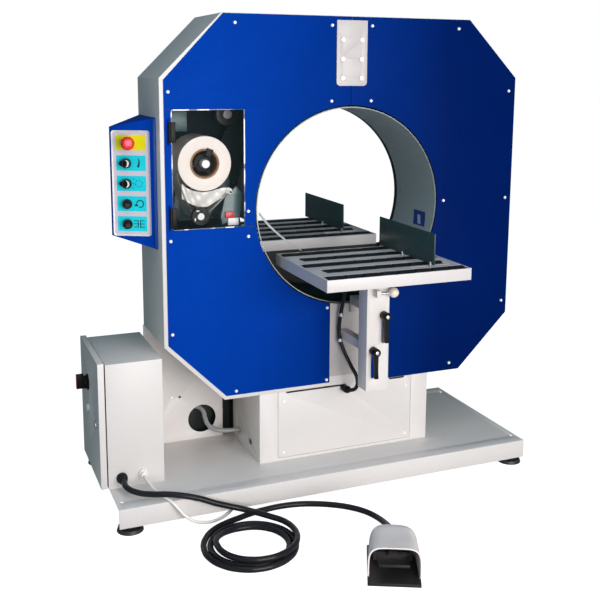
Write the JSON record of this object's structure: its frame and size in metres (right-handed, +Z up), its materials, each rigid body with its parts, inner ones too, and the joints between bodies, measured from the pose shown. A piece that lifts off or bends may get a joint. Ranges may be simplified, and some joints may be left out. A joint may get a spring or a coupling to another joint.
{
  "type": "ring stretch wrapper",
  "caption": "Horizontal stretch wrapper: a film reel runs round a vertical ring in an eight-sided housing while goods pass through on roller tables.",
  "frame": {"origin": "on the floor, in the middle of the bounding box of the machine without its cords", "axes": "+Z up; +Y from the operator side to the back, along the ring axis; +X to the right seen from the front"},
  "size_m": [1.4053, 1.3441, 1.441],
  "materials": {
    "casing_paint": "fine texture powder coat",
    "blue_paint": "fine texture powder coat",
    "plate_paint": "satin printed plate",
    "drum_paint": "satin",
    "carriage_paint": "satin",
    "table_paint": "satin",
    "fence_paint": "satin",
    "motor_paint": "satin",
    "zinc": "zinc plated",
    "ring_metal": "machined",
    "black_rubber": "matt",
    "cord_rubber": "smooth",
    "black_plastic": "matt",
    "gear_plastic": "matt",
    "white_plastic": "matt",
    "cream_plastic": "gloss",
    "red_plastic": "gloss",
    "hood_paint": "satin",
    "film_white": "stretch film wound on a core",
    "clear": "clear sheet"
  },
  "bodies": {
    "frame": {"base_pan": "casing_paint", "levelling_feet": "black_rubber", "stand_box": "casing_paint", "stand_cover": "casing_paint", "rear_support_plate": "casing_paint", "housing_shell": "casing_paint", "front_panel_left": "blue_paint", "front_panel_right": "blue_paint", "back_panel": "blue_paint", "joint_plates": "casing_paint", "panel_screws": "zinc", "rear_seal": "black_rubber", "drive_motor": "motor_paint", "cabinet_body": "casing_paint", "control_gear": "gear_plastic", "cable_glands": "black_plastic", "control_pod": "blue_paint", "control_plate": "plate_paint", "sensor_cable": "cord_rubber", "cable_bundle": "cord_rubber", "pedal_base": "black_plastic", "pedal_hood": "hood_paint", "pedal_cable": "cord_rubber", "pedal_coil": "cord_rubber", "mains_lead": "white_plastic", "mains_coil": "white_plastic", "mains_plug": "white_plastic"},
    "ring": {"ring_plate": "ring_metal", "ring_drum": "drum_paint", "reel_carriage": "carriage_paint"},
    "wheel_left": {"support_wheel_left": "black_rubber"},
    "wheel_right": {"support_wheel_right": "black_rubber"},
    "wheel_low": {"support_wheel_low": "black_rubber"},
    "wheel_drive": {"drive_wheel": "black_rubber"},
    "reel": {"film_roll": "film_white", "reel_spindle": "black_plastic"},
    "roller_low": {"lower_roller": "ring_metal"},
    "roller_up": {"upper_roller": "white_plastic"},
    "window": {"window_door": "clear"},
    "table_front": {"front_table": "table_paint", "front_rollers": "black_plastic", "front_column": "casing_paint"},
    "fence_front": {"front_fence": "fence_paint"},
    "table_back": {"back_table": "table_paint", "back_rollers": "black_plastic", "back_column": "casing_paint"},
    "fence_back": {"back_fence": "fence_paint"},
    "lever_upper": {"front_lever_upper": "black_plastic"},
    "lever_lower": {"front_lever_lower": "black_plastic"},
    "lever_back": {"back_lever": "black_plastic"},
    "plunger": {"table_plunger": "cream_plastic"},
    "estop": {"estop_button": "red_plastic"},
    "start": {"start_button": "black_plastic"},
    "stop": {"stop_button": "black_plastic"},
    "speed": {"speed_selector": "black_plastic"},
    "mode": {"mode_selector": "black_plastic"},
    "door": {"cabinet_door": "casing_paint"},
    "switch": {"main_switch": "black_plastic"},
    "lock": {"door_lock": "zinc"},
    "treadle": {"pedal_treadle": "black_plastic"}
  },
  "joints": [
    {"name": "ring_spin", "type": "hinge", "parent": "frame", "child": "ring", "pos_m": [0.115, 0.205, 0.872], "axis": [0, 1, 0], "continuous": true},
    {"name": "wheel_left_spin", "type": "hinge", "parent": "frame", "child": "wheel_left", "pos_m": [-0.21463, 0.205, 1.14859], "axis": [0, 1, 0], "continuous": true},
    {"name": "wheel_right_spin", "type": "hinge", "parent": "frame", "child": "wheel_right", "pos_m": [0.44463, 0.205, 1.14859], "axis": [0, 1, 0], "continuous": true},
    {"name": "wheel_low_spin", "type": "hinge", "parent": "frame", "child": "wheel_low", "pos_m": [-0.21463, 0.205, 0.59541], "axis": [0, 1, 0], "continuous": true},
    {"name": "wheel_drive_spin", "type": "hinge", "parent": "frame", "child": "wheel_drive", "pos_m": [0.46761, 0.205, 0.57612], "axis": [0, 1, 0], "continuous": true},
    {"name": "reel_spin", "type": "hinge", "parent": "ring", "child": "reel", "pos_m": [-0.33, 0.111, 1.013], "axis": [0, 1, 0], "continuous": true},
    {"name": "roller_low_spin", "type": "hinge", "parent": "ring", "child": "roller_low", "pos_m": [-0.347, 0.111, 0.86], "axis": [0, 1, 0], "continuous": true},
    {"name": "roller_up_spin", "type": "hinge", "parent": "ring", "child": "roller_up", "pos_m": [-0.255, 0.111, 0.928], "axis": [0, 1, 0], "continuous": true},
    {"name": "window_hinge", "type": "hinge", "parent": "frame", "child": "window", "pos_m": [-0.446, -0.0053, 1], "axis": [0, 0, 1], "range_deg": [-120, 0]},
    {"name": "front_table_lift", "type": "slide", "parent": "frame", "child": "table_front", "axis": [0, 0, 1], "range_m": [0, 0.07]},
    {"name": "back_table_lift", "type": "slide", "parent": "frame", "child": "table_back", "axis": [0, 0, 1], "range_m": [0, 0.07]},
    {"name": "front_fence_slide", "type": "slide", "parent": "table_front", "child": "fence_front", "axis": [1, 0, 0], "range_m": [-0.06, 0.06]},
    {"name": "back_fence_slide", "type": "slide", "parent": "table_back", "child": "fence_back", "axis": [1, 0, 0], "range_m": [-0.06, 0.06]},
    {"name": "lever_upper_turn", "type": "hinge", "parent": "frame", "child": "lever_upper", "pos_m": [0.132, -0.206, 0.578], "axis": [0, 1, 0], "range_deg": [-75, 75]},
    {"name": "lever_lower_turn", "type": "hinge", "parent": "frame", "child": "lever_lower", "pos_m": [0.1, -0.206, 0.473], "axis": [0, 1, 0], "range_deg": [-75, 75]},
    {"name": "lever_back_turn", "type": "hinge", "parent": "frame", "child": "lever_back", "pos_m": [0.115, 0.486, 0.518], "axis": [0, 1, 0], "range_deg": [-75, 75]},
    {"name": "plunger_pull", "type": "slide", "parent": "table_front", "child": "plunger", "axis": [1, 0, 0], "range_m": [0, 0.008], "stiffness_N_per_m": 1500},
    {"name": "estop_press", "type": "slide", "parent": "frame", "child": "estop", "axis": [0.4679, 0.8838, 0], "range_m": [0, 0.005]},
    {"name": "start_press", "type": "slide", "parent": "frame", "child": "start", "axis": [0.4679, 0.8838, 0], "range_m": [0, 0.004], "stiffness_N_per_m": 1200},
    {"name": "stop_press", "type": "slide", "parent": "frame", "child": "stop", "axis": [0.4679, 0.8838, 0], "range_m": [0, 0.004], "stiffness_N_per_m": 1200},
    {"name": "speed_turn", "type": "hinge", "parent": "frame", "child": "speed", "pos_m": [-0.55043, 0.09262, 1.0185], "axis": [0.4679, 0.8838, 0], "range_deg": [0, 90]},
    {"name": "mode_turn", "type": "hinge", "parent": "frame", "child": "mode", "pos_m": [-0.55043, 0.09262, 0.96], "axis": [0.4679, 0.8838, 0], "range_deg": [0, 90]},
    {"name": "door_hinge", "type": "hinge", "parent": "frame", "child": "door", "pos_m": [-0.648, 0.313, 0.27], "axis": [0, 0, 1], "range_deg": [-100, 0]},
    {"name": "switch_turn", "type": "hinge", "parent": "door", "child": "switch", "pos_m": [-0.672, 0.178, 0.352], "axis": [-1, 0, 0], "range_deg": [0, 90]},
    {"name": "lock_turn", "type": "hinge", "parent": "door", "child": "lock", "pos_m": [-0.669, 0.059, 0.26], "axis": [-1, 0, 0], "range_deg": [0, 90]},
    {"name": "treadle_press", "type": "hinge", "parent": "frame", "child": "treadle", "pos_m": [0.00396, -0.52995, 0.034], "axis": [0.9018, -0.4321, 0], "range_deg": [0, 10], "stiffness_Nm_per_rad": 4, "springref_deg": -8.59}
  ],
  "couplings": [
    {"joint": "wheel_left_spin", "follows": "ring_spin", "ratio": -13.333},
    {"joint": "wheel_right_spin", "follows": "ring_spin", "ratio": -13.333},
    {"joint": "wheel_low_spin", "follows": "ring_spin", "ratio": -13.333},
    {"joint": "wheel_drive_spin", "follows": "ring_spin", "ratio": -6.6667},
    {"joint": "roller_low_spin", "follows": "reel_spin", "ratio": -4.4722},
    {"joint": "roller_up_spin", "follows": "reel_spin", "ratio": 8.05}
  ]
}
